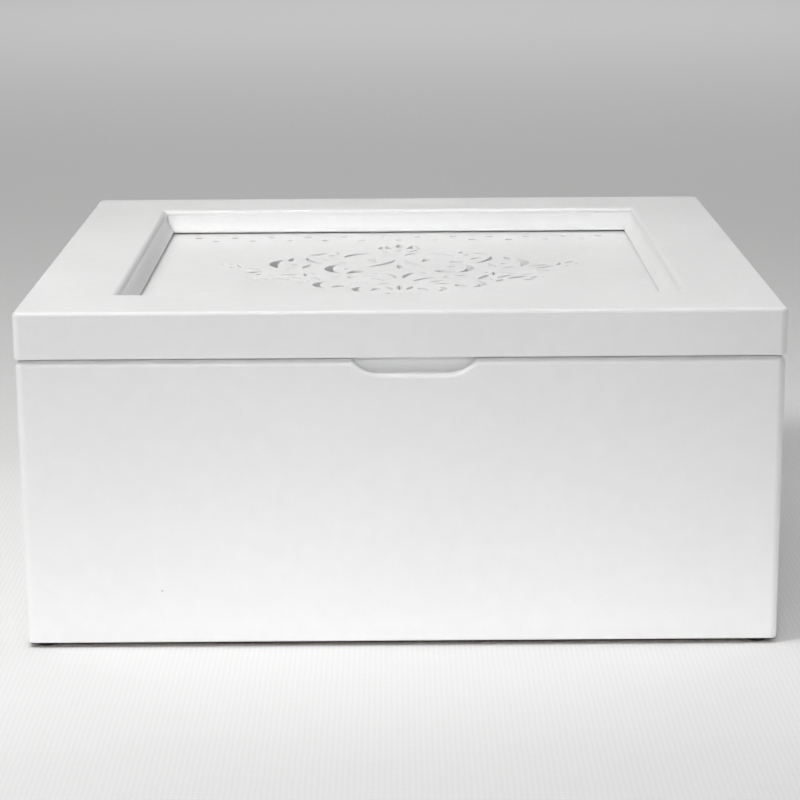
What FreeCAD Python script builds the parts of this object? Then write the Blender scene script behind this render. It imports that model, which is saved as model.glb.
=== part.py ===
import FreeCAD, Part
import math
import os
import re
import Sketcher

V = FreeCAD.Vector

# Sizes in millimetres and degrees, each set once. Every piece reads them from the sheet.
SIZES = {
    # Lid frame: four mitred members, moulded along the inner edge
    "lid_width": 300,
    "lid_depth": 284.5,
    "lid_thickness": 18.5,
    "lid_corner_radius": 3,
    "lid_edge_radius": 1.5,
    "frame_width": 34.6,
    "ovolo_radius": 2.2,
    "quirk_width": 0.2,
    "cove_width": 3.4,
    "cove_height": 7.1,
    "foot_height": 1,
    # Dowels across the mitres
    "dowel_radius": 3,
    "dowel_length": 24,
    "dowel_setback": 15,
    "dowel_play": 0.1,
    # Pierced panel, and the beads that hold it in the rebate under the moulding
    "rebate_width": 8,
    "panel_thickness": 3,
    "panel_gap": 0.7,
    "panel_side_play": 0.3,
    "bead_round": 2.5,
    "bead_setback": 0.6,
    # Ornament: the scroll figure, and two staggered rows of holes along the front and back edges
    "ornament_width": 161.6,
    "border_hole_radius": 1.9,
    "border_pitch": 17.5,
    "border_inset": 11.3,
    "border_row_gap": 8.5,
    "border_margin": 12,
    # Case walls, rebated at the corners and grooved for the floor
    "lid_overhang": 0.3,
    "lid_gap": 0.5,
    "wall_height": 115.3,
    "wall_thickness": 12,
    "case_corner_radius": 3.4,
    "case_edge_radius": 3.1,
    "corner_lip": 4,
    "glue_gap": 0.1,
    "base_thickness": 4,
    "base_groove_depth": 5,
    "base_groove_rise": 5,
    "base_play": 0.3,
    # Finger notch in the front wall
    "notch_offset": 5.3,
    "notch_flat": 25.5,
    "notch_height": 6.1,
    "notch_end_radius": 14,
    "notch_depth": 3.2,
    "notch_lip_radius": 2,
    # Felt discs that the case stands on
    "felt_radius": 5.5,
    "felt_thickness": 2,
    "felt_inset": 8,
    # Butt hinges, let into the back wall and the back rail
    "hinge_end_inset": 59.4,
    "hinge_length": 32,
    "hinge_inset": 2,
    "barrel_radius": 2,
    "barrel_play": 0.4,
    "knuckle_count": 3,
    "knuckle_gap": 0.2,
    "leaf_width": 8,
    "leaf_thickness": 0.9,
    "leaf_play": 0.15,
    "pin_radius": 0.9,
    "pin_play": 0.05,
    "pin_proud": 0.3,
    # Hinge screws
    "screw_head_radius": 1.8,
    "screw_radius": 0.9,
    "screw_length": 10,
    "screw_spacing": 20,
    "screw_play": 0.05,
    # Bevels along the back edges of case and lid, which meet when the lid leans back
    "bevel_angle": 50,
    "bevel_relief": 0.1,
    # How far a cut runs past the face it starts from
    "overcut": 1,
}

# Sizes that follow from the ones above.
DERIVED = {
    "foot_reach": "frame_width + ovolo_radius + quirk_width + cove_width",
    "rebate_shoulder": "foot_reach - rebate_width",
    "rebate_ceiling": "lid_thickness - ovolo_radius - cove_height - foot_height",
    "cove_radius": "(cove_width ^ 2 + cove_height ^ 2) / (2 * cove_width)",
    "bead_height": "rebate_ceiling - panel_gap - panel_thickness",
    "panel_width": "lid_width - 2 * (rebate_shoulder + panel_side_play)",
    "panel_depth": "lid_depth - 2 * (rebate_shoulder + panel_side_play)",
    "case_width": "lid_width - 2 * lid_overhang",
    "case_depth": "lid_depth - 2 * lid_overhang",
    "side_wall_length": "case_depth - 2 * (corner_lip + glue_gap)",
    "groove_top": "base_groove_rise + base_thickness + base_play",
    "base_width": "case_width - 2 * (wall_thickness - base_groove_depth + base_play)",
    "base_depth": "case_depth - 2 * (wall_thickness - base_groove_depth + base_play)",
    "case_top": "felt_thickness + wall_height",
    "lid_bottom": "case_top + lid_gap",
    "axis_height": "case_top + lid_gap / 2",
    "axis_back": "case_depth / 2 - hinge_inset",
    "hinge_spacing": "case_width - 2 * hinge_end_inset",
    "knuckle_length": "hinge_length / knuckle_count",
    "screw_setback": "(leaf_width + barrel_radius + barrel_play) / 2",
    "bevel_slope": "tan(bevel_angle)",
    "bevel_drop": "bevel_relief / cos(bevel_angle)",
    "mitre_arc": "lid_corner_radius * (1 - sqrt(0.5))",
}

doc = FreeCAD.newDocument("card_box")
sheet = doc.addObject("Spreadsheet::Sheet", "dims")
for row, (name, value) in enumerate([*SIZES.items(), *DERIVED.items()], start=1):
    sheet.set(f"A{row}", name)
    sheet.set(f"B{row}", f"={value}" if name in DERIVED else str(value))
    sheet.setAlias(f"B{row}", name)
doc.recompute()


def linked(formula):
    """The formula with each sheet name written so that any object can hold it."""
    names = {*SIZES, *DERIVED}
    return re.sub(r"[a-z_]+", lambda word: f"dims.{word[0]}" if word[0] in names else word[0], formula)


def size(formula):
    return float(sheet.evalExpression(linked(formula)))


def bind(thing, **formulas):
    """Bind properties to sheet formulas; a double underscore stands for a dot."""
    for name, formula in formulas.items():
        thing.setExpression(name.replace("__", "."), linked(formula))


def place(thing, across="0", along="0", up="0", turn=0):
    """Stand a piece at its place, turned about the vertical."""
    thing.Placement = FreeCAD.Placement(V(), FreeCAD.Rotation(V(0, 0, 1), turn))
    bind(thing, Placement__Base__x=across, Placement__Base__y=along, Placement__Base__z=up)


def new_body(label):
    body = doc.addObject("PartDesign::Body", label)
    body.Label = label
    return body


def new_sketch(body, plane, lift="0"):
    sketch = body.newObject("Sketcher::SketchObject", "sketch")
    origin_plane = next(part for part in body.Origin.OriginFeatures if part.Role == plane)
    sketch.AttachmentSupport = [(origin_plane, "")]
    sketch.MapMode = "FlatFace"
    bind(sketch, AttachmentOffset__Base__z=lift)
    return sketch


def hold(sketch, constraint, formula):
    """Add a constraint whose value follows a sheet formula."""
    index = sketch.addConstraint(constraint)
    sketch.setExpression(f"Constraints[{index}]", linked(formula))


def draw_outline(sketch, corners):
    """Draw a closed outline through (x, y) corners given as formulas.

    A third entry is the radius of an arc to the next corner: above zero it turns left, below right.
    """
    points = [V(size(corner[0]), size(corner[1]), 0) for corner in corners]
    first = sketch.GeometryCount
    starts, ends = [], []
    for index, corner in enumerate(corners):
        begin, finish = points[index], points[(index + 1) % len(points)]
        if len(corner) == 2:
            sketch.addGeometry(Part.LineSegment(begin, finish), False)
            forward = True
        else:
            radius = size(corner[2])
            forward = radius > 0
            chord = finish - begin
            reach = math.sqrt(radius ** 2 - (chord.Length / 2) ** 2)
            left = V(-chord.y, chord.x, 0).normalize()
            centre = (begin + finish) / 2 + left * math.copysign(reach, radius)
            low, high = (begin, finish) if forward else (finish, begin)
            angles = [math.atan2(point.y - centre.y, point.x - centre.x) for point in (low, high)]
            circle = Part.Circle(centre, V(0, 0, 1), abs(radius))
            sketch.addGeometry(Part.ArcOfCircle(circle, *angles), False)
        starts.append(1 if forward else 2)
        ends.append(2 if forward else 1)
    for index, corner in enumerate(corners):
        edge, following = first + index, (index + 1) % len(corners)
        sketch.addConstraint(
            Sketcher.Constraint("Coincident", edge, ends[index], first + following, starts[following]))
        for kind, formula, where in zip(("DistanceX", "DistanceY"), corner, points[index]):
            hold(sketch, Sketcher.Constraint(kind, -1, 1, edge, starts[index], where), formula)
        if len(corner) == 3:
            radius = abs(size(corner[2]))
            hold(sketch, Sketcher.Constraint("Radius", edge, radius), corner[2].lstrip("-"))


def draw_circle(sketch, across, along, radius):
    centre = V(size(across), size(along), 0)
    edge = sketch.addGeometry(Part.Circle(centre, V(0, 0, 1), size(radius)), False)
    hold(sketch, Sketcher.Constraint("Radius", edge, size(radius)), radius)
    for kind, formula, where in zip(("DistanceX", "DistanceY"), (across, along), centre):
        hold(sketch, Sketcher.Constraint(kind, -1, 1, edge, 3, where), formula)


def rectangle(left, right, low, high):
    return [(left, low), (right, low), (right, high), (left, high)]


def mirrored(corners):
    """The same outline on the other side of the upright axis."""
    turned = []
    for across, along, *arc in corners:
        other_way = [radius[1:] if radius[0] == "-" else f"-{radius}" for radius in arc]
        turned.append((f"-({across})", along, *other_way))
    return turned


def pad(body, sketch, length):
    """Raise a sketch by the same amount on both sides of its plane."""
    feature = body.newObject("PartDesign::Pad", "pad")
    feature.Profile = sketch
    feature.SideType = "Symmetric"
    bind(feature, Length=length)
    doc.recompute()


def raise_up(body, sketch, height):
    feature = body.newObject("PartDesign::Pad", "pad")
    feature.Profile = sketch
    bind(feature, Length=height)
    doc.recompute()


def cut_across(body, sketch, length):
    """Cut by the same amount on both sides of the sketch's plane."""
    feature = body.newObject("PartDesign::Pocket", "pocket")
    feature.Profile = sketch
    feature.SideType = "Symmetric"
    bind(feature, Length=length)
    doc.recompute()


def cut_into(body, sketch, depth, upward=False):
    """Cut down from the sketch's plane, or up into the piece above it."""
    feature = body.newObject("PartDesign::Pocket", "pocket")
    feature.Profile = sketch
    feature.Reversed = upward
    bind(feature, Length=depth)
    doc.recompute()


def bore(body, radius, length, axis, **base):
    """Cut a round hole along an axis; base gives the place of its start."""
    hole = body.newObject("PartDesign::SubtractiveCylinder", "bore")
    hole.Placement = FreeCAD.Placement(V(), FreeCAD.Rotation(V(0, 0, 1), axis))
    bind(hole, Radius=radius, Height=length)
    bind(hole, **{f"Placement__Base__{side}": formula for side, formula in base.items()})
    doc.recompute()


def round_edges(body, radius, chosen):
    """Round the edges of the body's last feature whose bounding box is chosen."""
    feature = body.Tip
    names = [f"Edge{number}" for number, edge in enumerate(feature.Shape.Edges, start=1)
             if chosen(edge.BoundBox)]
    fillet = body.newObject("PartDesign::Fillet", "fillet")
    fillet.Base = (feature, names)
    bind(fillet, Radius=radius)
    doc.recompute()


def close(first, second):
    return abs(first - second) < 1e-4


# The sides in the order of their quarter turns: pieces are drawn for the front.
SIDES = ("front", "right", "back", "left")
LID_SPANS = {"front": "lid_width", "right": "lid_depth", "back": "lid_width", "left": "lid_depth"}
MEMBER_NAMES = {"front": "lid_front_rail", "right": "lid_right_stile",
                "back": "lid_back_rail", "left": "lid_left_stile"}


def set_on_side(body, side, width, depth, up):
    """Turn a piece to its side of a box of this width and depth, its outer face on that side."""
    across, along = {"front": ("0", f"-{depth} / 2"), "right": (f"{width} / 2", "0"),
                     "back": ("0", f"{depth} / 2"), "left": (f"-{width} / 2", "0")}[side]
    place(body, across, along, up, 90 * SIDES.index(side))


def cut_mitres(body, span):
    """Saw both ends to 45 degrees and round the outer tips, as after sanding the made-up frame."""
    waste = [
        (f"-{span} / 2 + lid_corner_radius", "-overcut"),
        (f"-{span} / 2 + lid_corner_radius", "0", "-lid_corner_radius"),
        (f"-{span} / 2 + mitre_arc", "mitre_arc"),
        (f"-{span} / 2 + foot_reach + overcut", "foot_reach + overcut"),
        (f"-{span} / 2 - overcut", "foot_reach + overcut"),
        (f"-{span} / 2 - overcut", "-overcut"),
    ]
    sketch = new_sketch(body, "XY_Plane")
    draw_outline(sketch, waste)
    draw_outline(sketch, mirrored(waste))
    cut_across(body, sketch, "2 * (lid_thickness + overcut)")


def lid_member(side):
    """Frame member: rebate below, and ovolo, quirk, cove and foot along the inner edge."""
    span = LID_SPANS[side]
    body = new_body(MEMBER_NAMES[side])
    section = new_sketch(body, "YZ_Plane")
    draw_outline(section, [
        ("0", "0"),
        ("rebate_shoulder", "0"),
        ("rebate_shoulder", "rebate_ceiling"),
        ("foot_reach", "rebate_ceiling"),
        ("foot_reach", "rebate_ceiling + foot_height", "-cove_radius"),
        ("foot_reach - cove_width", "lid_thickness - ovolo_radius"),
        ("frame_width + ovolo_radius", "lid_thickness - ovolo_radius", "ovolo_radius"),
        ("frame_width", "lid_thickness"),
        ("0", "lid_thickness"),
    ])
    pad(body, section, span)
    cut_mitres(body, span)
    top, reach = size("lid_thickness"), size("lid_corner_radius")
    round_edges(body, "lid_edge_radius",
                lambda box: close(box.ZMin, top) and close(box.ZMax, top) and box.YMax < reach)
    for end, heading in (("-", 1), ("", -1)):
        bore(body, "dowel_radius + dowel_play", "dowel_length + 2 * dowel_play", V(heading, -1, 0),
             x=f"{end}({span} / 2 - dowel_setback) - {heading} * (dowel_length / 2 + dowel_play) * sqrt(0.5)",
             y="dowel_setback + (dowel_length / 2 + dowel_play) * sqrt(0.5)",
             z="lid_thickness / 2")
    set_on_side(body, side, "lid_width", "lid_depth", "lid_bottom")
    return body


def panel_bead(side):
    """Quadrant bead in the rebate; the panel rests on it."""
    span = LID_SPANS[side]
    body = new_body(f"lid_bead_{side}")
    section = new_sketch(body, "YZ_Plane")
    inner = "foot_reach - bead_setback"
    draw_outline(section, [
        ("rebate_shoulder", "0"),
        (f"{inner} - bead_round", "0", "bead_round"),
        (inner, "bead_round"),
        (inner, "bead_height"),
        ("rebate_shoulder", "bead_height"),
    ])
    pad(body, section, span)
    cut_mitres(body, span)
    set_on_side(body, side, "lid_width", "lid_depth", "lid_bottom")


def mitre_dowels():
    dowels = []
    for right in (-1, 1):
        for back in (-1, 1):
            dowel = doc.addObject("Part::Cylinder", "dowel")
            bind(dowel, Radius="dowel_radius", Height="dowel_length")
            heading = V(1, -right * back, 0)
            dowel.Placement = FreeCAD.Placement(V(), FreeCAD.Rotation(V(0, 0, 1), heading))
            start = "dowel_length / 2 * sqrt(0.5)"
            bind(dowel,
                 Placement__Base__x=f"{right} * (lid_width / 2 - dowel_setback) - {start}",
                 Placement__Base__y=f"{back} * (lid_depth / 2 - dowel_setback) + {right * back} * {start}",
                 Placement__Base__z="lid_bottom + lid_thickness / 2")
            dowels.append(dowel)
    group = doc.addObject("Part::Compound", "mitre_dowels")
    group.Links = dowels


def end_wall(label):
    """Front or back wall: grooved for the floor, rounded outside, rebated for the side walls."""
    body = new_body(label)
    section = new_sketch(body, "YZ_Plane")
    draw_outline(section, [
        ("0", "0"),
        ("wall_thickness", "0"),
        ("wall_thickness", "base_groove_rise"),
        ("wall_thickness - base_groove_depth", "base_groove_rise"),
        ("wall_thickness - base_groove_depth", "groove_top"),
        ("wall_thickness", "groove_top"),
        ("wall_thickness", "wall_height"),
        ("0", "wall_height"),
    ])
    pad(body, section, "case_width")
    end = size("case_width / 2")
    round_edges(body, "case_corner_radius",
                lambda box: close(box.YMax, 0) and close(abs(box.XMin), end) and close(box.XMin, box.XMax))
    return body


def round_top(body):
    """Round the top edges of a wall, all but the one along its inner face."""
    top, inner = size("wall_height"), size("wall_thickness")
    round_edges(body, "case_edge_radius",
                lambda box: close(box.ZMin, top) and close(box.ZMax, top) and not close(box.YMin, inner))


def cut_corner_rebates(body):
    rebate = rectangle("case_width / 2 - wall_thickness", "case_width / 2 + overcut",
                       "corner_lip", "wall_thickness + overcut")
    sketch = new_sketch(body, "XY_Plane")
    draw_outline(sketch, rebate)
    draw_outline(sketch, mirrored(rebate))
    cut_across(body, sketch, "2 * (wall_height + overcut)")


def front_wall():
    """Front wall with the finger notch: flat in the middle, curved up at both ends, with a soft lip."""
    body = end_wall("front_wall")
    round_top(body)
    run = "sqrt(notch_end_radius ^ 2 - (notch_end_radius - notch_height) ^ 2)"
    low, high = "wall_height - notch_height", "wall_height"
    sketch = new_sketch(body, "XZ_Plane")
    draw_outline(sketch, [
        ("notch_offset - notch_flat / 2", low),
        ("notch_offset + notch_flat / 2", low, "notch_end_radius"),
        (f"notch_offset + notch_flat / 2 + {run}", high),
        (f"notch_offset + notch_flat / 2 + {run}", f"{high} + overcut"),
        (f"notch_offset - notch_flat / 2 - {run}", f"{high} + overcut"),
        (f"notch_offset - notch_flat / 2 - {run}", high, "notch_end_radius"),
    ])
    cut_into(body, sketch, "notch_depth")
    middle, sill = size("notch_offset"), size(low)
    reach = size(f"notch_flat / 2 + {run}") + 1
    top = size("wall_height")
    round_edges(body, "notch_lip_radius",
                lambda box: close(box.YMax, 0) and box.ZMin > sill - 1 and box.ZMin < top - 1
                and abs((box.XMin + box.XMax) / 2 - middle) < reach)
    cut_corner_rebates(body)
    set_on_side(body, "front", "case_width", "case_depth", "felt_thickness")


def cut_hinge_seats(body, axis_inset, axis_level, seat_level, upward):
    """Seats of both hinges: shallow mortises for the leaves, reliefs for the barrels, screw holes."""
    mortises = new_sketch(body, "XY_Plane", seat_level)
    pilots = new_sketch(body, "XY_Plane", seat_level)
    for side in ("-", ""):
        middle = f"{side}hinge_spacing / 2"
        draw_outline(mortises, rectangle(
            f"{middle} - hinge_length / 2 - leaf_play", f"{middle} + hinge_length / 2 + leaf_play",
            axis_inset, f"{axis_inset} + leaf_width + leaf_play"))
        for end in ("-", "+"):
            draw_circle(pilots, f"{middle} {end} screw_spacing / 2", f"{axis_inset} + screw_setback",
                        "screw_radius + screw_play")
    cut_into(body, mortises, "leaf_thickness", upward)
    cut_into(body, pilots, "leaf_thickness + screw_length", upward)
    for side in ("-", ""):
        bore(body, "barrel_radius + barrel_play", "hinge_length + 2 * (pin_proud + barrel_play)", V(1, 0, 0),
             x=f"{side}hinge_spacing / 2 - hinge_length / 2 - pin_proud - barrel_play",
             y=axis_inset, z=axis_level)


def cut_bevel(body, axis_inset, axis_level, far_level, slope_sign):
    """Bevel a back edge on a plane close to the hinge axis, sloping away from it."""
    slope, drop = f"{slope_sign} * bevel_slope", f"{slope_sign} * bevel_drop"
    sketch = new_sketch(body, "YZ_Plane")
    draw_outline(sketch, [
        (f"{axis_inset} - ({far_level} - ({axis_level}) - {drop}) / ({slope})", far_level),
        ("-overcut", f"{axis_level} + {slope} * ({axis_inset} + overcut) + {drop}"),
        ("-overcut", far_level),
    ])
    cut_across(body, sketch, "lid_width + 2 * overcut")


def back_wall():
    body = end_wall("back_wall")
    round_top(body)
    cut_corner_rebates(body)
    axis = "wall_height + lid_gap / 2"
    cut_bevel(body, "hinge_inset", axis, "wall_height + overcut", -1)
    cut_hinge_seats(body, "hinge_inset", axis, "wall_height", False)
    set_on_side(body, "back", "case_width", "case_depth", "felt_thickness")


def back_rail():
    body = lid_member("back")
    inset, axis = "(hinge_inset + lid_overhang)", "-lid_gap / 2"
    cut_bevel(body, inset, axis, "-overcut", 1)
    cut_hinge_seats(body, inset, axis, "0", True)


def side_wall(side):
    """Side wall between the lips of the front and back wall, rounded along its top outer edge."""
    body = new_body(f"{side}_wall")
    section = new_sketch(body, "YZ_Plane")
    draw_outline(section, [
        ("0", "0"),
        ("wall_thickness", "0"),
        ("wall_thickness", "base_groove_rise"),
        ("wall_thickness - base_groove_depth", "base_groove_rise"),
        ("wall_thickness - base_groove_depth", "groove_top"),
        ("wall_thickness", "groove_top"),
        ("wall_thickness", "wall_height"),
        ("case_edge_radius", "wall_height", "case_edge_radius"),
        ("0", "wall_height - case_edge_radius"),
    ])
    pad(body, section, "side_wall_length")
    set_on_side(body, side, "case_width", "case_depth", "felt_thickness")


def base_panel():
    body = new_body("base_panel")
    sketch = new_sketch(body, "XY_Plane")
    draw_outline(sketch, rectangle("-base_width / 2", "base_width / 2", "-base_depth / 2", "base_depth / 2"))
    raise_up(body, sketch, "base_thickness")
    place(body, up="felt_thickness + base_groove_rise")


def felt_foot(front_back, left_right):
    body = new_body(f"felt_foot_{front_back}_{left_right}")
    sketch = new_sketch(body, "XY_Plane")
    draw_circle(sketch, "0", "0", "felt_radius")
    raise_up(body, sketch, "felt_thickness")
    across = {"left": "-", "right": ""}[left_right]
    along = {"front": "-", "back": ""}[front_back]
    place(body, f"{across}(case_width / 2 - felt_inset)", f"{along}(case_depth / 2 - felt_inset)")


HINGE_PLACES = {"left": "-hinge_spacing / 2", "right": "hinge_spacing / 2"}


def hinge_leaf(side, owner):
    """Leaf with its knuckles, drawn about the hinge axis; the lid's lies above it, the case's below."""
    body = new_body(f"hinge_{side}_{owner}_leaf")
    level = {"lid": "", "case": "-"}[owner]
    plate = new_sketch(body, "YZ_Plane")
    near, far = f"{level}lid_gap / 2", f"{level}(lid_gap / 2 + leaf_thickness)"
    draw_outline(plate, rectangle("-leaf_width", "0", near, far))
    pad(body, plate, "hinge_length")
    barrel = new_sketch(body, "YZ_Plane")
    draw_circle(barrel, "0", "0", "barrel_radius")
    pad(body, barrel, "hinge_length")

    gaps = new_sketch(body, "XY_Plane")
    for knuckle in range({"lid": 0, "case": 1}[owner], int(size("knuckle_count")), 2):
        draw_outline(gaps, rectangle(
            f"-hinge_length / 2 + {knuckle} * knuckle_length - knuckle_gap / 2",
            f"-hinge_length / 2 + {knuckle + 1} * knuckle_length + knuckle_gap / 2",
            "-barrel_radius - barrel_play", "barrel_radius + overcut"))
    cut_across(body, gaps, "2 * (barrel_radius + overcut)")
    pin_hole = new_sketch(body, "YZ_Plane")
    draw_circle(pin_hole, "0", "0", "pin_radius + pin_play")
    cut_across(body, pin_hole, "hinge_length + 2 * overcut")

    head, shank = "screw_head_radius + screw_play", "screw_radius + screw_play"
    for end in ("-", ""):
        sink = body.newObject("PartDesign::SubtractiveCone", "countersink")
        lower, upper = (head, shank) if owner == "lid" else (shank, head)
        bind(sink, Radius1=lower, Radius2=upper, Height="leaf_thickness",
             Placement__Base__x=f"{end}screw_spacing / 2", Placement__Base__y="-screw_setback",
             Placement__Base__z=near if owner == "lid" else far)
    doc.recompute()
    place(body, HINGE_PLACES[side], "axis_back", "axis_height")


def hinge_pin(side):
    body = new_body(f"hinge_{side}_pin")
    sketch = new_sketch(body, "YZ_Plane")
    draw_circle(sketch, "0", "0", "pin_radius")
    pad(body, sketch, "hinge_length + 2 * pin_proud")
    place(body, HINGE_PLACES[side], "axis_back", "axis_height")


def hinge_screws(owner):
    """Four countersunk screws, their heads flush with the leaves."""
    section = doc.addObject("Sketcher::SketchObject", "screw_section")
    section.Placement = FreeCAD.Placement(V(), FreeCAD.Rotation(V(1, 0, 0), 90))
    draw_outline(section, [
        ("0", "0"),
        ("screw_head_radius", "0"),
        ("screw_radius", "-leaf_thickness"),
        ("screw_radius", "-leaf_thickness - screw_length"),
        ("0", "-leaf_thickness - screw_length"),
    ])
    tilt, level = {"lid": (180, "axis_height + lid_gap / 2"), "case": (0, "axis_height - lid_gap / 2")}[owner]
    screws = []
    for middle in HINGE_PLACES.values():
        for end in ("-", "+"):
            screw = doc.addObject("Part::Revolution", "screw")
            screw.Source = section
            screw.Axis, screw.Base, screw.Angle, screw.Solid = V(0, 0, 1), V(), 360, True
            screw.Placement = FreeCAD.Placement(V(), FreeCAD.Rotation(V(1, 0, 0), tilt))
            bind(screw, Placement__Base__x=f"{middle} {end} screw_spacing / 2",
                 Placement__Base__y="axis_back - screw_setback", Placement__Base__z=level)
            screws.append(screw)
    group = doc.addObject("Part::Compound", f"{owner}_hinge_screws")
    group.Links = screws


# Cut-outs of the ornament.
DOT_SIDES = 12


def polar(x, y, radius, angle):
    """Point at a distance from (x, y); angles are in degrees from the right, counterclockwise."""
    return V(x + radius * math.cos(math.radians(angle)), y + radius * math.sin(math.radians(angle)), 0)


def two_arcs(first, last, one_side, other_side):
    return Part.Wire([Part.Arc(first, one_side, last).toShape(), Part.Arc(last, other_side, first).toShape()])


def leaf(x, y, angle, length, width):
    """Pointed at both ends, widest in the middle."""
    return two_arcs(polar(x, y, length / 2, angle + 180), polar(x, y, length / 2, angle),
                    polar(x, y, width / 2, angle + 90), polar(x, y, width / 2, angle - 90))


def crescent(x, y, radius, start, end, width):
    """Along a circle from start to end, swelling inwards to its width halfway."""
    middle = (start + end) / 2
    return two_arcs(polar(x, y, radius, start), polar(x, y, radius, end),
                    polar(x, y, radius, middle), polar(x, y, radius - width, middle))


def drop(x, y, angle, length, radius):
    """Round head about (x, y) and a straight-sided tail that ends a length away."""
    half = math.degrees(math.acos(radius / length))
    flank, other = polar(x, y, radius, angle + half), polar(x, y, radius, angle - half)
    tail = polar(x, y, length, angle)
    head = Part.Arc(flank, polar(x, y, radius, angle + 180), other)
    return Part.Wire([head.toShape(), Part.LineSegment(other, tail).toShape(),
                      Part.LineSegment(tail, flank).toShape()])


def dot(x, y, radius):
    """Small round hole, with few enough sides to keep the many of them light."""
    turn = 360 / DOT_SIDES
    return Part.makePolygon([polar(x, y, radius, corner * turn) for corner in range(DOT_SIDES + 1)])


# The scroll figure, drawn about the middle of the panel. First the cut-outs on its centre line.
SPINE = [
    leaf(0, 65, 90, 11, 3.6),
    dot(0, 54, 1.5),
    leaf(0, 11.5, 90, 9, 2.6),
    leaf(0, -37.5, 90, 11, 2.6),
    leaf(0, -55, 90, 12, 3.2),
    dot(0, -65, 1.4),
    dot(0, -69.5, 1),
]

# Cut-outs right of it; each has its like on the left.
RIGHT_HALF = [
    # Finial
    drop(4.9, 58.8, 80, 8, 1.4),
    leaf(8.6, 60.3, 97, 8, 1.9),
    leaf(6.6, 52, 55, 7, 2),
    # Upper scroll
    crescent(15.3, 36.5, 10, -5, 110, 3.4),
    crescent(11.5, 38.5, 9.3, 98, 178, 1.6),
    crescent(19.5, 28.5, 17.5, 178, 256, 2.6),
    drop(12.6, 29, 250, 7, 1.9),
    drop(25, 22.5, 30, 7, 2.2),
    # Middle scroll
    crescent(20.5, 8, 13, -68, 62, 3.6),
    drop(18.9, 0.2, -42, 7, 3),
    dot(23.6, 5.2, 1.1),
    leaf(23.3, 11.3, 45, 6, 1.6),
    # Shoulder
    leaf(28.6, 47.3, 80, 6, 2.2),
    dot(31, 40.5, 1.5),
    leaf(37.2, 43.8, -38, 10, 3.8),
    # Side scroll
    crescent(27, 33, 15.7, -63, 14, 2.4),
    crescent(37, 29, 4.6, 75, 195, 2),
    # Outer scroll
    leaf(49.4, 31, 95, 10, 2.6),
    crescent(46.3, 20.3, 12.6, -50, 62, 4),
    leaf(49.2, 9, 24, 7, 2),
    dot(47.3, 18, 1.7),
    leaf(41.8, 14, 108, 10, 2.8),
    # Wing
    leaf(63.3, 13.2, 28, 12, 2.4),
    leaf(65.3, 8.8, 38, 11, 2.4),
    leaf(72, 16, 78, 8, 1.8),
    dot(75.3, 12, 1.1),
    leaf(76.9, 20.8, 45, 6.5, 1.8),
    dot(79.7, 16.8, 1.1),
    # Spray
    leaf(64.3, 0.6, -28, 8.5, 3),
    leaf(62.5, -4.5, -60, 5, 1.6),
    dot(38.2, -4.6, 1.3),
    leaf(41.6, -6.5, 88, 8, 1.6),
    leaf(48.6, -5.9, -14, 9.6, 2.2),
    leaf(56.3, -8.2, 20, 7, 1.8),
    leaf(37, -14.3, 63, 12, 2.8),
    leaf(46.3, -13, 45, 11, 2.4),
    leaf(51.8, -15.6, 33, 12, 3.4),
    leaf(59, -15.6, 55, 6.5, 1.8),
    dot(63, -14.5, 1.1),
    leaf(56.5, -21, 20, 7, 2),
    leaf(43.5, -23, 60, 7, 2.2),
    dot(39.8, -21, 1.1),
    # Stem
    crescent(14.8, -13, 13.5, 122, 196, 2.4),
    dot(11, -3.6, 1.5),
    crescent(20, -27, 14.6, 98, 168, 2.2),
    dot(21.2, -13.8, 1.9),
    leaf(27.8, -11, 18, 8, 2),
    leaf(16.2, -24, 32, 9, 2),
    leaf(19.5, -29, 16, 9, 2),
    leaf(7.2, -29, 160, 6.5, 1.8),
    # Lower scroll
    crescent(29.8, -30, 7.8, -80, 78, 3),
    drop(25.9, -33.6, 320, 5, 2.2),
    crescent(14.4, -41, 6, -75, 78, 2.6),
    drop(9.6, -40, 300, 6, 1.8),
    leaf(4.4, -38.8, 72, 9, 2),
    # Tail
    leaf(6, -52.5, 112, 9, 2.2),
    dot(11, -52.5, 1.2),
    leaf(4.4, -62.5, 68, 7, 1.8),
]


def border_holes():
    """Two staggered rows of round holes along the front and the back edge."""
    pitch = size("border_pitch")
    edge = size("lid_depth / 2 - foot_reach - border_inset")
    many = int(size("(lid_width - 2 * foot_reach - 2 * border_margin) / border_pitch")) + 1
    holes = []
    for row in (0, 1):
        along = edge - row * size("border_row_gap")
        for index in range(many - row):
            across = (index - (many - row - 1) / 2) * pitch
            holes += [dot(across, side * along, size("border_hole_radius")) for side in (1, -1)]
    return holes


def fret_panel():
    """Pierced panel: the scroll figure and the border rows, sawn right through."""
    drawn_width = 2 * max(cut.BoundBox.XMax for cut in RIGHT_HALF)
    scale = size("ornament_width") / drawn_width
    figure = SPINE + RIGHT_HALF + [cut.mirror(V(), V(1, 0, 0)) for cut in RIGHT_HALF]
    holes = [cut.scaled(scale) for cut in figure] + border_holes()
    right, back = size("panel_width / 2"), size("panel_depth / 2")
    edge = Part.makePolygon(
        [V(-right, -back), V(right, -back), V(right, back), V(-right, back), V(-right, -back)])
    face = Part.makeFace([edge, *holes], "Part::FaceMakerBullseye")
    panel = doc.addObject("Part::Feature", "lid_fret_panel")
    panel.Shape = face.extrude(V(0, 0, size("panel_thickness")))
    place(panel, up="lid_bottom + bead_height")


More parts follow.
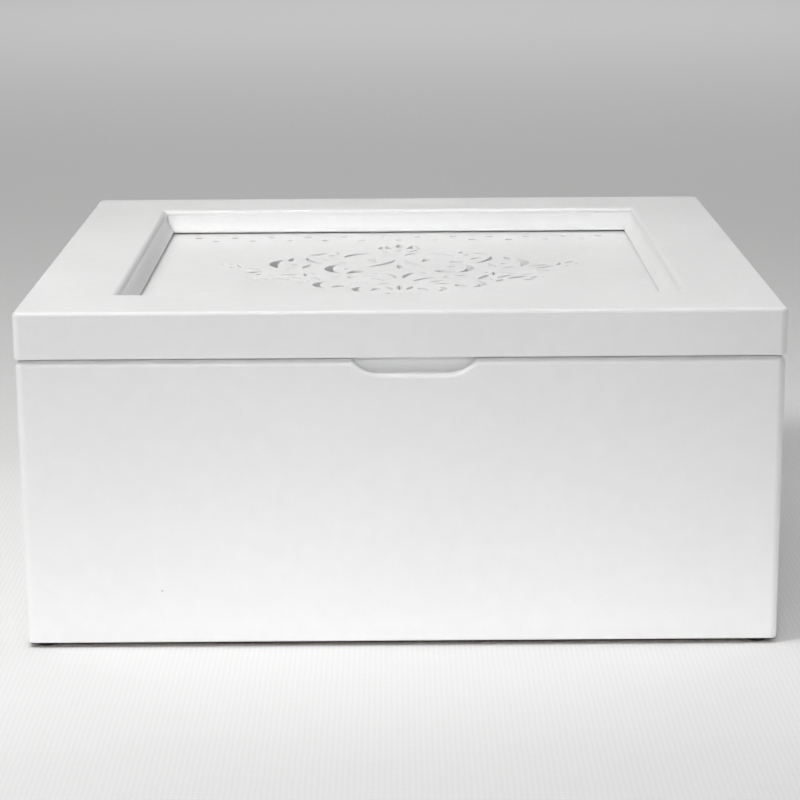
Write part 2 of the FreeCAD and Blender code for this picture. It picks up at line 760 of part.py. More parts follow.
front_wall()
back_wall()
for side in ("left", "right"):
    side_wall(side)
base_panel()
for front_back in ("front", "back"):
    for left_right in ("left", "right"):
        felt_foot(front_back, left_right)
for side in ("front", "left", "right"):
    lid_member(side)
back_rail()
mitre_dowels()
fret_panel()
for side in SIDES:
    panel_bead(side)
for side in HINGE_PLACES:
    hinge_leaf(side, "case")
    hinge_leaf(side, "lid")
    hinge_pin(side)
for owner in ("case", "lid"):
    hinge_screws(owner)

doc.recompute()
for thing in doc.Objects:
    if {"Invalid", "Error"} & set(thing.State):
        raise RuntimeError(f"{thing.Label}: {thing.State}")

os.makedirs("parts", exist_ok=True)
for thing in doc.Objects:
    if thing.TypeId not in ("PartDesign::Body", "Part::Compound", "Part::Feature"):
        continue
    if thing.Shape.isNull() or not thing.Shape.isValid():
        raise RuntimeError(f"{thing.Label} has no valid shape")
    thing.Shape.exportStep(f"parts/{thing.Label}.step")
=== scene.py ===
import math
import bpy
from mathutils import Matrix, Vector


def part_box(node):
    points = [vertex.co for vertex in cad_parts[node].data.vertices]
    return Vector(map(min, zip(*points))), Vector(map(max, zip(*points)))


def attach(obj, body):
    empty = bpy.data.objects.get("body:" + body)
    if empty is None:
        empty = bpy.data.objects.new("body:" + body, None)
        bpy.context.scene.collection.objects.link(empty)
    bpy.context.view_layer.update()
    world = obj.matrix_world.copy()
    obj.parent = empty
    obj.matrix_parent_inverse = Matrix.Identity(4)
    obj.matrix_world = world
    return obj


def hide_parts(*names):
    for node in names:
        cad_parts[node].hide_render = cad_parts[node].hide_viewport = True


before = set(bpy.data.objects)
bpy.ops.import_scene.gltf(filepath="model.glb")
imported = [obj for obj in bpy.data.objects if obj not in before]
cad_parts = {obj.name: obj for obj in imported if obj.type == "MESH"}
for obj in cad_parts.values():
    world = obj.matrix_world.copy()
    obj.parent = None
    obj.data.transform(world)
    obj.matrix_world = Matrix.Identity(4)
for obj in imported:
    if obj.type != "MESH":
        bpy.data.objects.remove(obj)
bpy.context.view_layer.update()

# Walls of the case: 12 mm fibreboard, rebated and glued at the corners, the front one with a finger
# notch scooped out of it. The outer edges are rounded over, the other arrises rubbed down, and the
# glued-up case is sprayed with white satin paint, all but its underside.
WALLS = ("front_wall", "back_wall", "left_wall", "right_wall")
WALL_ARRIS = 0.0005
FOOT_ARRIS = 0.0002
BARE_FROM, BARE_TO = 0.00005, 0.0002
FIBREBOARD_DARK, FIBREBOARD_PALE = (0.16, 0.1, 0.06, 1), (0.3, 0.21, 0.13, 1)
SATIN = {"full": (0.83, 0.83, 0.83), "thin": (0.8, 0.8, 0.8),
         "glossiest": 0.31, "dullest": 0.4, "peel": 0.12}
SHARP = math.radians(28)
NEAR = 1e-5
SURFACE = (("Colour", "NodeSocketColor"),
           ("Roughness", "NodeSocketFloat"),
           ("Height", "NodeSocketFloat"))
inner_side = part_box("right_wall")[0][0]
inner_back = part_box("back_wall")[0][1]
wall_bottom, wall_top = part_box("front_wall")[0][2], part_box("front_wall")[1][2]


def merged_copy(node, name, whole_faces=True):
    """A copy of a node's shape with its facets joined up again, into whole faces where asked."""
    piece = bpy.data.objects.new(name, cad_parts[node].data.copy())
    bpy.context.collection.objects.link(piece)
    bpy.ops.object.select_all(action="DESELECT")
    piece.select_set(True)
    bpy.context.view_layer.objects.active = piece
    bpy.ops.object.mode_set(mode="EDIT")
    bpy.ops.mesh.select_all(action="SELECT")
    bpy.ops.mesh.remove_doubles(threshold=1e-6)
    bpy.ops.mesh.customdata_custom_splitnormals_clear()
    if whole_faces:
        bpy.ops.mesh.dissolve_limited(angle_limit=math.radians(0.5))
    bpy.ops.object.mode_set(mode="OBJECT")
    return piece


def rub_down(piece, width, chosen=lambda *ends: True, rounds=3, **settings):
    """Bevel the sharp edges of the piece, or those of them whose two ends are chosen."""
    bpy.ops.object.mode_set(mode="EDIT")
    bpy.ops.mesh.select_mode(type="EDGE")
    bpy.ops.mesh.select_all(action="DESELECT")
    bpy.ops.mesh.edges_select_sharp(sharpness=SHARP)
    bpy.ops.object.mode_set(mode="OBJECT")
    for edge in piece.data.edges:
        ends = [piece.data.vertices[end].co for end in edge.vertices]
        edge.select = edge.select and chosen(*ends)
    bpy.ops.object.mode_set(mode="EDIT")
    bpy.ops.mesh.bevel(offset=width, segments=rounds, affect="EDGES", **settings)
    bpy.ops.object.mode_set(mode="OBJECT")


def shade(piece):
    """Shade curves smooth and keep the large faces flat."""
    bpy.ops.object.shade_smooth_by_angle(angle=SHARP)
    flat = piece.modifiers.new("flat_faces", "WEIGHTED_NORMAL")
    flat.keep_sharp = True
    bpy.ops.object.modifier_apply(modifier=flat.name)


def new_material(name):
    """A new material, with its node tree and its shader."""
    material = bpy.data.materials.new(name)
    material.use_nodes = True
    return material, material.node_tree, material.node_tree.nodes["Principled BSDF"]


def add_node(tree, kind, inputs=(), **settings):
    """A new shader node: an input takes a value or a link from another node's output."""
    node = tree.nodes.new(kind)
    for name, value in settings.items():
        setattr(node, name, value)
    for name, value in dict(inputs).items():
        if isinstance(value, bpy.types.NodeSocket):
            tree.links.new(value, node.inputs[name])
        else:
            node.inputs[name].default_value = value
    return node


def spot_on_piece(tree):
    """The place on the piece that a pattern is drawn at."""
    return add_node(tree, "ShaderNodeTexCoord").outputs["Object"]


def mix_colours(tree, factor, first, second):
    """Blend from the first colour to the second as the factor goes from 0 to 1."""
    factor_in, first_in, second_in, colour_out = 0, 6, 7, 2
    mix = add_node(tree, "ShaderNodeMix",
                   {factor_in: factor, first_in: first, second_in: second}, data_type="RGBA")
    return mix.outputs[colour_out]


def new_group(name, inputs, outputs):
    """A node group with named sockets; returns it with its inner input and output sockets."""
    group = bpy.data.node_groups.new(name, "ShaderNodeTree")
    for title, kind, value in inputs:
        group.interface.new_socket(title, in_out="INPUT", socket_type=kind).default_value = value
    for title, kind in outputs:
        group.interface.new_socket(title, in_out="OUTPUT", socket_type=kind)
    given = group.nodes.new("NodeGroupInput").outputs
    made = group.nodes.new("NodeGroupOutput").inputs
    return group, given, made


def sprayed_coat():
    """Paint as the gun leaves it: broad drifts of tone, fine orange peel, a rare caught speck."""
    group, given, made = new_group(
        "sprayed_coat",
        [("Full Coat", "NodeSocketColor", (0.8, 0.8, 0.8, 1)),
         ("Thin Coat", "NodeSocketColor", (0.75, 0.75, 0.75, 1)),
         ("Speck", "NodeSocketColor", (0.25, 0.24, 0.23, 1)),
         ("Glossiest", "NodeSocketFloat", 0.35),
         ("Dullest", "NodeSocketFloat", 0.45)],
        SURFACE)
    spot = spot_on_piece(group)
    drift = add_node(group, "ShaderNodeTexNoise", {"Vector": spot, "Scale": 11, "Detail": 3})
    mottle = add_node(group, "ShaderNodeTexNoise", {"Vector": spot, "Scale": 140, "Detail": 5})
    tone = add_node(group, "ShaderNodeMath", {0: drift.outputs["Fac"], 1: mottle.outputs["Fac"]})
    thin = add_node(group, "ShaderNodeMapRange", {
        "Value": tone.outputs[0], "From Min": 0.7, "From Max": 1.3})
    clean = mix_colours(group, thin.outputs["Result"], given["Full Coat"], given["Thin Coat"])

    grains = add_node(group, "ShaderNodeTexVoronoi", {"Vector": spot, "Scale": 30})
    speck = add_node(group, "ShaderNodeMapRange", {
        "Value": grains.outputs["Distance"], "From Min": 0.006, "From Max": 0.014,
        "To Min": 1, "To Max": 0})
    specked = mix_colours(group, speck.outputs["Result"], clean, given["Speck"])
    group.links.new(specked, made["Colour"])

    gloss = add_node(group, "ShaderNodeTexNoise", {"Vector": spot, "Scale": 35, "Detail": 4})
    roughness = add_node(group, "ShaderNodeMapRange", {
        "Value": gloss.outputs["Fac"], "From Min": 0.3, "From Max": 0.7,
        "To Min": given["Glossiest"], "To Max": given["Dullest"]})
    group.links.new(roughness.outputs["Result"], made["Roughness"])

    peel = add_node(group, "ShaderNodeTexNoise", {
        "Vector": spot, "Scale": 620, "Detail": 2, "Roughness": 0.4})
    group.links.new(peel.outputs["Fac"], made["Height"])
    return group


def bare_below(tree, colour, level):
    """The colour of the coat, giving way to brown fibreboard at the level of the underside."""
    spot = spot_on_piece(tree)
    height = add_node(tree, "ShaderNodeSeparateXYZ", {"Vector": spot}).outputs["Z"]
    bare = add_node(tree, "ShaderNodeMapRange", {
        "Value": height, "From Min": level + BARE_FROM, "From Max": level + BARE_TO,
        "To Min": 1, "To Max": 0})
    fuzz = add_node(tree, "ShaderNodeTexNoise", {"Vector": spot, "Scale": 900, "Detail": 4})
    fibreboard = mix_colours(tree, fuzz.outputs["Fac"], FIBREBOARD_DARK, FIBREBOARD_PALE)
    return mix_colours(tree, bare.outputs["Result"], colour, fibreboard)


def painted(name, full, thin, glossiest, dullest, peel, underside=None):
    """A sprayed finish of its own shade and gloss, left bare at the underside if one is given."""
    material, tree, shader = new_material(name)
    sprayed = add_node(tree, "ShaderNodeGroup", node_tree=coat_group)
    sprayed.inputs["Full Coat"].default_value = (*full, 1)
    sprayed.inputs["Thin Coat"].default_value = (*thin, 1)
    sprayed.inputs["Glossiest"].default_value = glossiest
    sprayed.inputs["Dullest"].default_value = dullest
    colour = sprayed.outputs["Colour"]
    if underside is not None:
        colour = bare_below(tree, colour, underside)
    relief = add_node(tree, "ShaderNodeBump",
                      {"Height": sprayed.outputs["Height"], "Strength": peel, "Distance": 0.0001})
    tree.links.new(colour, shader.inputs["Base Color"])
    tree.links.new(sprayed.outputs["Roughness"], shader.inputs["Roughness"])
    tree.links.new(relief.outputs["Normal"], shader.inputs["Normal"])
    return material


def dress(piece, body, node, material):
    """Give a finished piece its material, and its place among the nodes and bodies."""
    piece.data.materials.clear()
    piece.data.materials.append(material)
    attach(piece, body)
    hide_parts(node)


def under_case(*ends):
    """The edges round the underside of the walls."""
    return all(end.z < wall_bottom + NEAR for end in ends)


def inner_rim(*ends):
    """The inner edges of the case's mouth."""
    on_top = all(end.z > wall_top - NEAR for end in ends)
    return on_top and (all(abs(abs(end.x) - inner_side) < NEAR for end in ends)
                       or all(abs(abs(end.y) - inner_back) < NEAR for end in ends))


coat_group = sprayed_coat()
case_white = painted("case_white", **SATIN, underside=wall_bottom)
for wall in WALLS:
    board = merged_copy(wall, f"{wall}_painted")
    rub_down(board, WALL_ARRIS, inner_rim)
    rub_down(board, FOOT_ARRIS, under_case)
    shade(board)
    dress(board, "case", wall, case_white)


# Floor of the case: a thin board that slides into grooves in the walls. It is sprayed more thinly
# than the outside, so it is a little duller and warmer.
def finish_node(node, material):
    """Give a piece that is shown as the part has it its own finish."""
    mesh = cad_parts[node].data
    mesh.materials.clear()
    mesh.materials.append(material)


inner_white = painted("inner_white", full=(0.79, 0.785, 0.775), thin=(0.75, 0.745, 0.73),
                      glossiest=0.5, dullest=0.62, peel=0.2)
finish_node("base_panel", inner_white)

# Feet: discs punched from dark grey pressed felt, one glued under each corner of the case. The
# punch drags the rim round a little, and the cut fibres leave the surface uneven.
FEET = ("felt_foot_front_left", "felt_foot_front_right",
        "felt_foot_back_left", "felt_foot_back_right")
FELT_DARK, FELT_PALE = (0.018, 0.018, 0.019, 1), (0.06, 0.06, 0.062, 1)
FOOT_RIM = 0.0004
FIBRE = 0.00006
foot_low, foot_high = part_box(FEET[0])
foot_radius = (foot_high[0] - foot_low[0]) / 2
foot_height = foot_high[2] - foot_low[2]


def middle(node):
    """The middle of a node's box."""
    low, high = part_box(node)
    return (Vector(low) + Vector(high)) / 2


def placed_copy(piece, name, place):
    """A copy of a piece with a mesh of its own, moved within that mesh."""
    copy = bpy.data.objects.new(name, piece.data.copy())
    bpy.context.collection.objects.link(copy)
    copy.data.transform(place)
    return copy


bpy.ops.object.select_all(action="DESELECT")
bpy.ops.mesh.primitive_cylinder_add(vertices=72, radius=foot_radius - 3 * FIBRE,
                                    depth=foot_height - 2 * FIBRE, end_fill_type="TRIFAN")
disc = bpy.context.object
bpy.ops.object.mode_set(mode="EDIT")
bpy.ops.mesh.select_mode(type="EDGE")
bpy.ops.mesh.select_all(action="DESELECT")
bpy.ops.mesh.edges_select_sharp(sharpness=SHARP)
bpy.ops.mesh.bevel(offset=FOOT_RIM, segments=3, affect="EDGES")
bpy.ops.mesh.select_all(action="SELECT")
bpy.ops.mesh.subdivide(number_cuts=2)
bpy.ops.transform.vertex_random(offset=FIBRE, seed=4)
bpy.ops.object.mode_set(mode="OBJECT")
bpy.ops.object.shade_smooth()

felt, tree, shader = new_material("grey_felt")
spot = spot_on_piece(tree)
fibres = add_node(tree, "ShaderNodeTexNoise", {
    "Vector": spot, "Scale": 2600, "Detail": 6, "Distortion": 1.5})
clumps = add_node(tree, "ShaderNodeTexNoise", {"Vector": spot, "Scale": 420, "Detail": 3})
nap = add_node(tree, "ShaderNodeMath",
               {0: fibres.outputs["Fac"], 1: clumps.outputs["Fac"]}, operation="MULTIPLY")
pale = add_node(tree, "ShaderNodeMapRange", {
    "Value": nap.outputs[0], "From Min": 0.15, "From Max": 0.4})
grey = mix_colours(tree, pale.outputs["Result"], FELT_DARK, FELT_PALE)
relief = add_node(tree, "ShaderNodeBump", {
    "Height": nap.outputs[0], "Strength": 0.8, "Distance": 0.0002})
tree.links.new(grey, shader.inputs["Base Color"])
tree.links.new(relief.outputs["Normal"], shader.inputs["Normal"])
shader.inputs["Roughness"].default_value = 0.95
shader.inputs["Specular IOR Level"].default_value = 0.15
shader.inputs["Sheen Weight"].default_value = 0.25

for foot in FEET:
    pad = placed_copy(disc, f"{foot}_felt", Matrix.Translation(middle(foot)))
    dress(pad, "case", foot, felt)
bpy.data.objects.remove(disc)

# Lid frame: four lengths of 18 mm board with an ovolo, a quirk and a cove run along the inner edge,
# mitred, dowelled and glued. The spray fills the mitres, so that no line shows across them, and
# gathers in the quirk, so that it is shallower than the cutter left it.
LID_MEMBERS = ("lid_front_rail", "lid_back_rail", "lid_left_stile", "lid_right_stile")
LID_ARRIS = 0.0004
COVE_FOOT_ARRIS = 0.00012
COVE_FOOT_FROM, COVE_FOOT_TO = 0.007, 0.012
LONG_EDGE = 0.05
QUIRK_DEPTH = 0.0022
QUIRK_INSET = 0.0368
PAINT_FILL = 0.0003
lid_side, lid_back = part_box("lid_right_stile")[1][0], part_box("lid_back_rail")[1][1]
lid_bottom, lid_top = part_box("lid_front_rail")[0][2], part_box("lid_front_rail")[1][2]
satin_white = painted("satin_white", **SATIN)


def in_quirk(corner):
    """Whether a corner of a member lies at the bottom of its quirk."""
    return (abs(lid_top - corner.z - QUIRK_DEPTH) < NEAR
            and abs(lid_side - abs(corner.x) - QUIRK_INSET) < NEAR)


def along_member(first, second):
    """The long edges of a member, all but those on its mitres."""
    on_mitre = all(abs(abs(end.x) - lid_side - abs(end.y) + lid_back) < NEAR
                   for end in (first, second))
    return (second - first).length > LONG_EDGE and not on_mitre


def lower_arris(first, second):
    return along_member(first, second) and first.z < lid_bottom + NEAR


def cove_foot(first, second):
    return along_member(first, second) and COVE_FOOT_FROM < first.z - lid_bottom < COVE_FOOT_TO


for member in LID_MEMBERS:
    stick = merged_copy(member, f"{member}_painted")
    for corner in stick.data.vertices:
        if in_quirk(corner.co):
            corner.co.z += PAINT_FILL
    rub_down(stick, LID_ARRIS, lower_arris)
    rub_down(stick, COVE_FOOT_ARRIS, cove_foot)
    shade(stick)
    dress(stick, "lid", member, satin_white)

# Fret panel: 3 mm board sawn through with a scrollwork figure and two rows of holes at front and
# back. Paint has built up on the sawn edges and rounded them.
FRET_ARRIS = 0.0002
panel_low, panel_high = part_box("lid_fret_panel")


def on_cut_out(*ends):
    """The edges of the holes, on the panel's top or underneath."""
    on_top = all(end.z > panel_high[2] - NEAR for end in ends)
    underneath = all(end.z < panel_low[2] + NEAR for end in ends)
    inside = all(abs(end.x) < panel_high[0] - NEAR and abs(end.y) < panel_high[1] - NEAR
                 for end in ends)
    return (on_top or underneath) and inside


panel = merged_copy("lid_fret_panel", "lid_fret_panel_painted", whole_faces=False)
rub_down(panel, FRET_ARRIS, on_cut_out, clamp_overlap=False, loop_slide=False, miter_outer="ARC")
shade(panel)
dress(panel, "lid", "lid_fret_panel", satin_white)

# Beads under the panel: thin strips, mitred and pinned into the frame's rebate to hold the panel
# up, and sprayed together with the frame.
for side in ("front", "back", "left", "right"):
    bead = merged_copy(f"lid_bead_{side}", f"lid_bead_{side}_painted")
    shade(bead)
    dress(bead, "lid", f"lid_bead_{side}", satin_white)

# Dowels: plain beech pegs glued across the mitres of the lid frame, out of sight once it is
# together. The wood is left raw.
BEECH_DARK, BEECH_PALE = (0.42, 0.25, 0.13, 1), (0.62, 0.43, 0.26, 1)
beech, tree, shader = new_material("beech")
spot = spot_on_piece(tree)
pores = add_node(tree, "ShaderNodeTexNoise", {"Vector": spot, "Scale": 900, "Detail": 5})
grain = add_node(tree, "ShaderNodeTexNoise", {
    "Vector": spot, "Scale": 160, "Detail": 4, "Distortion": 2})
figure = add_node(tree, "ShaderNodeMath",
                  {0: pores.outputs["Fac"], 1: grain.outputs["Fac"]}, operation="MULTIPLY")
pale = add_node(tree, "ShaderNodeMapRange", {
    "Value": figure.outputs[0], "From Min": 0.15, "From Max": 0.38})
wood = mix_colours(tree, pale.outputs["Result"], BEECH_DARK, BEECH_PALE)
tree.links.new(wood, shader.inputs["Base Color"])
shader.inputs["Roughness"].default_value = 0.7
finish_node("mitre_dowels", beech)

# Hinges: two butt hinges of pressed brass, their leaves let into the lid and the back wall. The
# knuckles are rolled from the leaf, and all edges are barrelled smooth before it is lacquered.
HINGES = ("hinge_left", "hinge_right")
LEAF_ARRIS = 0.0001


def handled_metal():
    """Metal that has been rolled and handled: soft tarnish, and fine scratches along the sheet."""
    group, given, made = new_group(
        "handled_metal",
        [("Bright", "NodeSocketColor", (0.8, 0.8, 0.8, 1)),
         ("Tarnished", "NodeSocketColor", (0.5, 0.5, 0.5, 1)),
         ("Smoothest", "NodeSocketFloat", 0.2),
         ("Dullest", "NodeSocketFloat", 0.4)],
        SURFACE)
    spot = spot_on_piece(group)
    bloom = add_node(group, "ShaderNodeTexNoise", {"Vector": spot, "Scale": 240, "Detail": 5})
    tarnish = add_node(group, "ShaderNodeMapRange", {
        "Value": bloom.outputs["Fac"], "From Min": 0.4, "From Max": 0.7})
    colour = mix_colours(group, tarnish.outputs["Result"], given["Bright"], given["Tarnished"])
    group.links.new(colour, made["Colour"])

    along = add_node(group, "ShaderNodeVectorMath",
                     {0: spot, 1: (60, 2600, 2600)}, operation="MULTIPLY")
    scratch = add_node(group, "ShaderNodeTexNoise", {
        "Vector": along.outputs["Vector"], "Scale": 1, "Detail": 3})
    wear = add_node(group, "ShaderNodeMath",
                    {0: scratch.outputs["Fac"], 1: tarnish.outputs["Result"]})
    roughness = add_node(group, "ShaderNodeMapRange", {
        "Value": wear.outputs[0], "From Min": 0.3, "From Max": 1.3,
        "To Min": given["Smoothest"], "To Max": given["Dullest"]})
    group.links.new(roughness.outputs["Result"], made["Roughness"])
    group.links.new(scratch.outputs["Fac"], made["Height"])
    return group


def metal(name, bright, tarnished, smoothest, dullest):
    """A handled metal of its own colour and polish."""
    material, tree, shader = new_material(name)
    handled = add_node(tree, "ShaderNodeGroup", node_tree=metal_group)
    handled.inputs["Bright"].default_value = (*bright, 1)
    handled.inputs["Tarnished"].default_value = (*tarnished, 1)
    handled.inputs["Smoothest"].default_value = smoothest
    handled.inputs["Dullest"].default_value = dullest
    relief = add_node(tree, "ShaderNodeBump",
                      {"Height": handled.outputs["Height"], "Strength": 0.15, "Distance": 0.00005})
    tree.links.new(handled.outputs["Colour"], shader.inputs["Base Color"])
    tree.links.new(handled.outputs["Roughness"], shader.inputs["Roughness"])
    tree.links.new(relief.outputs["Normal"], shader.inputs["Normal"])
    shader.inputs["Metallic"].default_value = 1
    return material


metal_group = handled_metal()
brass = metal("brass", bright=(0.78, 0.56, 0.24), tarnished=(0.55, 0.37, 0.14),
              smoothest=0.22, dullest=0.42)
for hinge in HINGES:
    for body in ("case", "lid"):
        leaf = merged_copy(f"{hinge}_{body}_leaf", f"{hinge}_{body}_leaf_brass")
        rub_down(leaf, LEAF_ARRIS)
        shade(leaf)
        dress(leaf, body, f"{hinge}_{body}_leaf", brass)

# Hinge pins: drawn steel wire, one driven through the knuckles of each hinge and fixed in those of
# the case leaf. The ends are domed over with a hammer.
PIN_DOME = 0.0004
pin_low, pin_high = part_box("hinge_left_pin")
pin_radius = (pin_high[2] - pin_low[2]) / 2
pin_length = pin_high[0] - pin_low[0]

bpy.ops.object.select_all(action="DESELECT")
bpy.ops.mesh.primitive_cylinder_add(vertices=48, radius=pin_radius, depth=pin_length,
                                    rotation=(0, math.radians(90), 0))
wire = bpy.context.object
bpy.ops.object.transform_apply(rotation=True)
rub_down(wire, PIN_DOME, rounds=5)
shade(wire)
steel = metal("steel", bright=(0.62, 0.61, 0.6), tarnished=(0.42, 0.41, 0.4),
              smoothest=0.25, dullest=0.4)
for hinge in HINGES:
    pin = placed_copy(wire, f"{hinge}_pin_steel", Matrix.Translation(middle(f"{hinge}_pin")))
    dress(pin, "case", f"{hinge}_pin", steel)
bpy.data.objects.remove(wire)

# Hinge screws: small countersunk brass wood screws with a single slot, two through each leaf. No
# two slots come to rest at the same angle.
HEAD_HEIGHT = 0.0009
HEAD_LAND = 0.0001
SHANK_RADIUS = 0.00088
POINT = 0.0022
POINT_TAPER = 0.12
SLOT_LENGTH, SLOT_WIDTH, SLOT_DEPTH = 0.005, 0.00045, 0.00045
SCREW_SPACING = 0.02
SLOT_ANGLES = {"case": (12, 71, 48, 155), "lid": (97, 30, 133, 64)}
screw_low, screw_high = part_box("case_hinge_screws")
head_radius = (screw_high[1] - screw_low[1]) / 2
screw_length = screw_high[2] - screw_low[2]
screw_places = [middle(f"{hinge}_case_leaf").x + shift
                for hinge in HINGES for shift in (-SCREW_SPACING / 2, SCREW_SPACING / 2)]

bpy.ops.object.select_all(action="DESELECT")
bpy.ops.mesh.primitive_circle_add(vertices=48, radius=head_radius, fill_type="NGON")
screw = bpy.context.object
bpy.ops.object.mode_set(mode="EDIT")
bpy.ops.mesh.select_mode(type="FACE")
for depth, narrowing in ((HEAD_LAND, 1),
                         (HEAD_HEIGHT - HEAD_LAND, SHANK_RADIUS / head_radius),
                         (screw_length - HEAD_HEIGHT - POINT, 1),
                         (POINT, POINT_TAPER)):
    bpy.ops.mesh.select_all(action="DESELECT")
    bpy.ops.object.mode_set(mode="OBJECT")
    lowest = min(screw.data.polygons, key=lambda face: face.center.z)
    lowest.select = True
    bpy.ops.object.mode_set(mode="EDIT")
    bpy.ops.mesh.extrude_region_move(TRANSFORM_OT_translate={"value": (0, 0, -depth)})
    bpy.ops.transform.resize(value=(narrowing, narrowing, 1), center_override=(0, 0, 0))
bpy.ops.mesh.select_all(action="SELECT")
bpy.ops.mesh.normals_make_consistent(inside=False)
bpy.ops.object.mode_set(mode="OBJECT")

bpy.ops.mesh.primitive_cube_add(size=1)
cutter = bpy.context.object
cutter.scale = (SLOT_LENGTH, SLOT_WIDTH, 2 * SLOT_DEPTH)
bpy.ops.object.transform_apply(scale=True)
slot_cut = screw.modifiers.new("slot", "BOOLEAN")
slot_cut.object = cutter
bpy.context.view_layer.objects.active = screw
bpy.ops.object.modifier_apply(modifier=slot_cut.name)
bpy.data.objects.remove(cutter)
bpy.ops.object.select_all(action="DESELECT")
screw.select_set(True)
bpy.ops.object.shade_smooth_by_angle(angle=SHARP)

for body, turned in (("case", 0), ("lid", 180)):
    node = f"{body}_hinge_screws"
    low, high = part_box(node)
    head_level = low[2] if turned else high[2]
    driven = [placed_copy(screw, f"{node}_brass",
                          Matrix.Translation((across, middle(node).y, head_level))
                          @ Matrix.Rotation(math.radians(turned), 4, "X")
                          @ Matrix.Rotation(math.radians(angle), 4, "Z"))
              for across, angle in zip(screw_places, SLOT_ANGLES[body])]
    bpy.ops.object.select_all(action="DESELECT")
    for copy in driven:
        copy.select_set(True)
    bpy.context.view_layer.objects.active = driven[0]
    bpy.ops.object.join()
    dress(driven[0], body, node, brass)
bpy.data.objects.remove(screw)

# Floor: a wide white cloth of fine plain weave, laid flat under the box. Towards the camera a
# painted shade greys its colour, standing in for the light that falls off there.
FLOOR_SIZE, FLOOR_CENTRE = 14, (0, 2, 0)
CLOTH_HOLLOW, CLOTH_RAISED = (0.74, 0.74, 0.74, 1), (0.8, 0.8, 0.8, 1)
CLOTH_IN_SHADE = (0.55, 0.55, 0.55, 1)
SHADE_CENTRE = (0, 3.9, 0)
SHADE_FROM, SHADE_TO = 4.08, 4.4
bpy.ops.object.select_all(action="DESELECT")
bpy.ops.mesh.primitive_plane_add(size=FLOOR_SIZE, location=FLOOR_CENTRE)
floor = bpy.context.object
floor.name = "floor"
bpy.ops.object.transform_apply(location=True)

cloth, tree, shader = new_material("white_cloth")
spot = spot_on_piece(tree)
threads = [add_node(tree, "ShaderNodeTexWave", {"Vector": spot, "Scale": 150, "Distortion": 1.2,
                                                "Detail": 1, "Detail Scale": 0.6},
                    bands_direction=direction)
           for direction in ("X", "Y")]
weave = add_node(tree, "ShaderNodeMath",
                 {0: threads[0].outputs["Fac"], 1: threads[1].outputs["Fac"]})
raised = add_node(tree, "ShaderNodeMapRange", {
    "Value": weave.outputs[0], "From Min": 0, "From Max": 2})
white = mix_colours(tree, raised.outputs["Result"], CLOTH_HOLLOW, CLOTH_RAISED)
# Painted shade: the cloth's colour turns grey towards the camera, in place of the light falling off
# there.
distance = add_node(tree, "ShaderNodeVectorMath", {0: spot, 1: SHADE_CENTRE}, operation="DISTANCE")
shade_amount = add_node(tree, "ShaderNodeMapRange",
                  {"Value": distance.outputs["Value"], "From Min": SHADE_FROM, "From Max": SHADE_TO},
                  interpolation_type="SMOOTHSTEP")
painted_shade = mix_colours(tree, shade_amount.outputs["Result"], white, CLOTH_IN_SHADE)
relief = add_node(tree, "ShaderNodeBump", {
    "Height": weave.outputs[0], "Strength": 0.15, "Distance": 0.0002})
tree.links.new(painted_shade, shader.inputs["Base Color"])
tree.links.new(relief.outputs["Normal"], shader.inputs["Normal"])
shader.inputs["Roughness"].default_value = 0.9
shader.inputs["Specular IOR Level"].default_value = 0.1
floor.data.materials.append(cloth)


# Light: a soft key high on the left, a weaker fill on the right and a broad light overhead. In
# front are a narrow light and the glow of the bright cloth, and a small light reaches the back of
# the lid. A wide one lights the floor behind, and the sky is even.
def soft_light(name, size, watts, place, aim, spread=180, colour=(1, 1, 1), glossy=True):
    """A rectangular light aimed at a place, which the camera doesn't see."""
    light = bpy.data.lights.new(name, "AREA")
    light.shape = "RECTANGLE"
    light.size, light.size_y = size
    light.energy = watts
    light.spread = math.radians(spread)
    light.color = colour
    lamp = bpy.data.objects.new(name, light)
    bpy.context.collection.objects.link(lamp)
    lamp.location = place
    lamp.rotation_euler = (Vector(aim) - Vector(place)).to_track_quat("-Z", "Y").to_euler()
    lamp.visible_camera = False
    lamp.visible_glossy = glossy


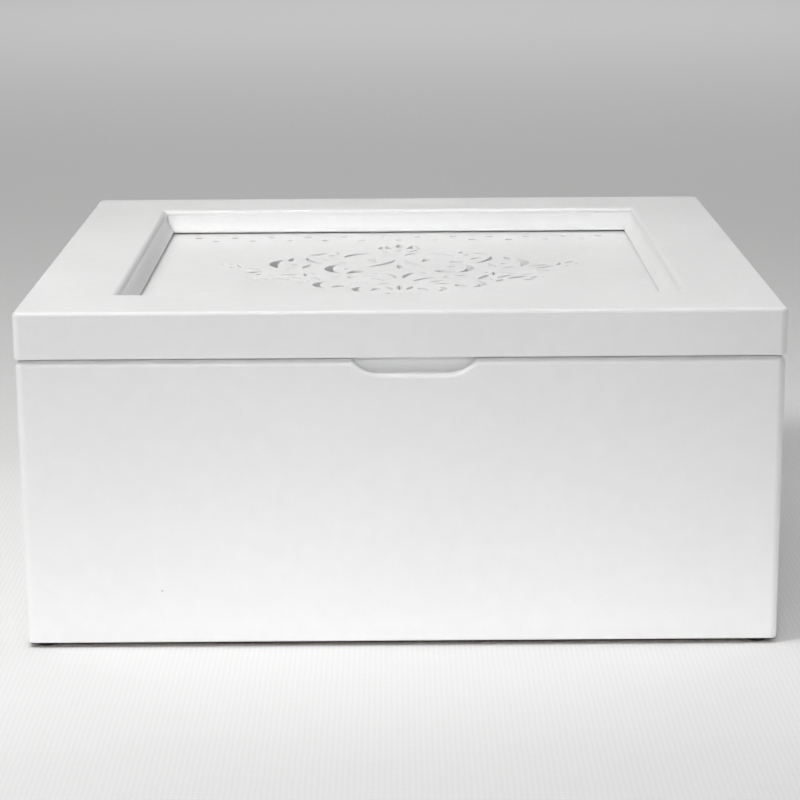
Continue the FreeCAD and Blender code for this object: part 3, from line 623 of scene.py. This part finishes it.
soft_light("key", size=(0.4, 0.4), watts=6.3, place=(-0.55, -0.35, 0.95),
           aim=(0, 0, 0.13), colour=(1, 0.997, 0.98))
soft_light("overhead", size=(0.7, 0.4), watts=1.7, place=(-0.2, -0.36, 1.2),
           aim=(0, -0.05, 0.1))
soft_light("right_fill", size=(0.35, 0.35), watts=0.85, place=(0.6, -0.1, 0.6),
           aim=(-0.1, 0, 0.13), glossy=False)
soft_light("low_front", size=(0.6, 0.3), watts=0.31, place=(-0.15, -1.2, 0.62),
           aim=(0, -0.142, -0.06), spread=30, colour=(0.97, 0.97, 1), glossy=False)
soft_light("cloth_glow", size=(0.5, 0.16), watts=0.1, place=(-0.04, -0.2235, 0.001),
           aim=(-0.04, -0.2235, 1), colour=(1, 0.995, 0.98), glossy=False)
soft_light("lid_back", size=(0.3, 0.06), watts=0.032, place=(-0.15, -1.1, 0.66),
           aim=(0, 0.13, 0.135), spread=12, glossy=False)
soft_light("floor_behind", size=(4, 2), watts=54, place=(0, 3.2, 2.6), aim=(0, 3, 0))

scene = bpy.context.scene
world = scene.world or bpy.data.worlds.new("studio")
scene.world = world
world.use_nodes = True
sky = world.node_tree.nodes["Background"]
sky.inputs["Color"].default_value = (0.5, 0.5, 0.5, 1)
sky.inputs["Strength"].default_value = 0.34
scene.view_settings.view_transform = "Standard"

# Camera: where the photograph was taken from, a little above the lid and almost square to the
# front, with a long lens.
CAMERA_PLACE = (-0.001115, -1.030575, 0.316876)
CAMERA_PAN = math.radians(-0.0552)
CAMERA_DIP = math.radians(13.6626)
CAMERA_ROLL = math.radians(-0.3743)
camera_data = bpy.data.cameras.new("camera")
camera_data.sensor_width = 36
camera_data.lens = 105.83
camera = bpy.data.objects.new("camera", camera_data)
bpy.context.collection.objects.link(camera)
camera.matrix_world = (Matrix.Translation(CAMERA_PLACE)
                       @ Matrix.Rotation(CAMERA_PAN, 4, "Z")
                       @ Matrix.Rotation(math.radians(90) - CAMERA_DIP, 4, "X")
                       @ Matrix.Rotation(CAMERA_ROLL, 4, "Z"))
scene.camera = camera
